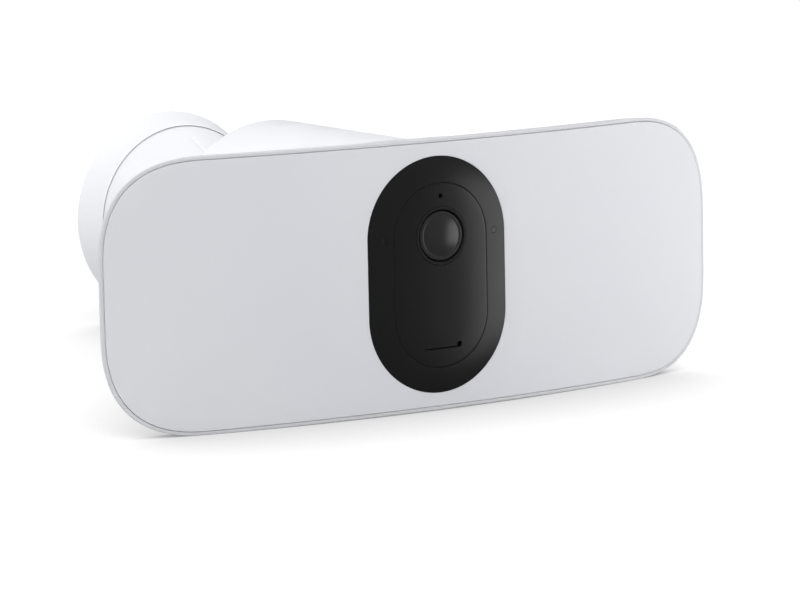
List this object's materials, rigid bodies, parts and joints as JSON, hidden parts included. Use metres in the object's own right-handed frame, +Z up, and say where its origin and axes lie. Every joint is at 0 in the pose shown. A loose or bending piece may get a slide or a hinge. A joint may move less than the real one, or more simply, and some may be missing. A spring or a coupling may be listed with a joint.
{
  "type": "floodlight security camera",
  "caption": "Wall-mounted floodlight camera: wide bowed light panel with a domed black camera face, on a round barrel that aims on a ball joint.",
  "frame": {"origin": "centre of the wall plate's back face", "axes": "+Y goes into the wall, +X is along the light panel's width, +Z up; the lamp and camera face -Y"},
  "size_m": [0.291, 0.235, 0.1112],
  "materials": {
    "white_shell": "fine satin moulded plastic",
    "diffuser": "smooth satin, faintly translucent",
    "black_face": "smooth half gloss",
    "black_trim": "satin",
    "lens_glass": "polished, dark coated",
    "dark_window": "polished infrared-clear plastic",
    "clear_sheet": "clear prismatic sheet",
    "circuit_board": "green solder mask",
    "led_board": "white solder mask on metal core",
    "steel": "fine turned",
    "contact": "plated",
    "rubber": "matte moulded",
    "white_rubber": "matte moulded"
  },
  "bodies": {
    "wall_mount": {"wall_plate": "steel", "wall_gasket": "rubber", "mount_base": "white_shell", "mount_cap": "white_shell", "socket_cup": "white_shell", "socket_screw_1": "steel", "socket_screw_2": "steel", "socket_screw_3": "steel", "lock_screw": "steel"},
    "collar": {"locking_collar": "white_shell"},
    "ball_pan": {"ball_liner": "black_trim"},
    "ball_tilt": {"ball": "steel"},
    "barrel": {"stem": "steel", "stem_nut": "steel", "barrel_housing": "white_shell", "housing_seal_ring": "rubber", "release_bracket": "steel", "release_spring": "steel", "charge_inlet": "black_trim", "charge_contact": "contact"},
    "release": {"release_button": "white_shell"},
    "cover": {"inlet_cover": "white_rubber"},
    "head": {"rear_shell": "white_shell", "light_diffuser": "diffuser", "diffuser_seal": "rubber", "light_spreader_left": "clear_sheet", "light_spreader_right": "clear_sheet", "led_board_left": "led_board", "led_board_right": "led_board", "camera_fascia": "black_face", "camera_face_plate": "black_face", "lens_ring": "black_trim", "lens_window": "lens_glass", "lens_barrel": "black_trim", "image_sensor_board": "circuit_board", "infrared_led_board": "circuit_board", "light_sensor_window": "dark_window", "infrared_window_left": "dark_window", "infrared_window_right": "dark_window", "motion_window": "dark_window", "motion_sensor": "steel", "mid_frame": "black_trim", "main_board": "circuit_board", "antenna": "contact", "speaker": "black_trim", "siren": "black_trim", "head_core": "white_shell", "battery_contacts": "contact"},
    "battery": {"battery_pack": "black_trim"},
    "sync": {"sync_button": "white_shell"}
  },
  "joints": [
    {"name": "collar_turn", "type": "hinge", "parent": "wall_mount", "child": "collar", "pos_m": [0, -0.061, 0], "axis": [0, -1, 0], "range_deg": [0, 60]},
    {"name": "pan", "type": "hinge", "parent": "wall_mount", "child": "ball_pan", "pos_m": [0, -0.061, 0], "axis": [0, 0, 1], "range_deg": [-30, 30]},
    {"name": "tilt", "type": "hinge", "parent": "ball_pan", "child": "ball_tilt", "pos_m": [0, -0.061, 0], "axis": [1, 0, 0], "range_deg": [-30, 30]},
    {"name": "roll", "type": "hinge", "parent": "ball_tilt", "child": "barrel", "pos_m": [0, -0.061, 0], "axis": [0, -1, 0], "continuous": true},
    {"name": "release_press", "type": "slide", "parent": "barrel", "child": "release", "axis": [0, 0, 1], "range_m": [0, 0.0012], "stiffness_N_per_m": 600, "springref_m": -0.001, "deforming": ["release_spring"]},
    {"name": "cover_open", "type": "hinge", "parent": "barrel", "child": "cover", "pos_m": [0, -0.1228, -0.0506], "axis": [-1, 0, 0], "range_deg": [0, 100]},
    {"name": "head_slide", "type": "slide", "parent": "barrel", "child": "head", "axis": [0, -1, 0], "range_m": [0, 0.1]},
    {"name": "battery_slide", "type": "slide", "parent": "head", "child": "battery", "axis": [0, 1, 0], "range_m": [0, 0.05]},
    {"name": "sync_press", "type": "slide", "parent": "head", "child": "sync", "axis": [0, -1, 0], "range_m": [0, 0.001], "stiffness_N_per_m": 500, "springref_m": -0.0005}
  ],
  "couplings": [
    {"joint": "battery_slide", "follows": "head_slide", "ratio": 0.5}
  ]
}
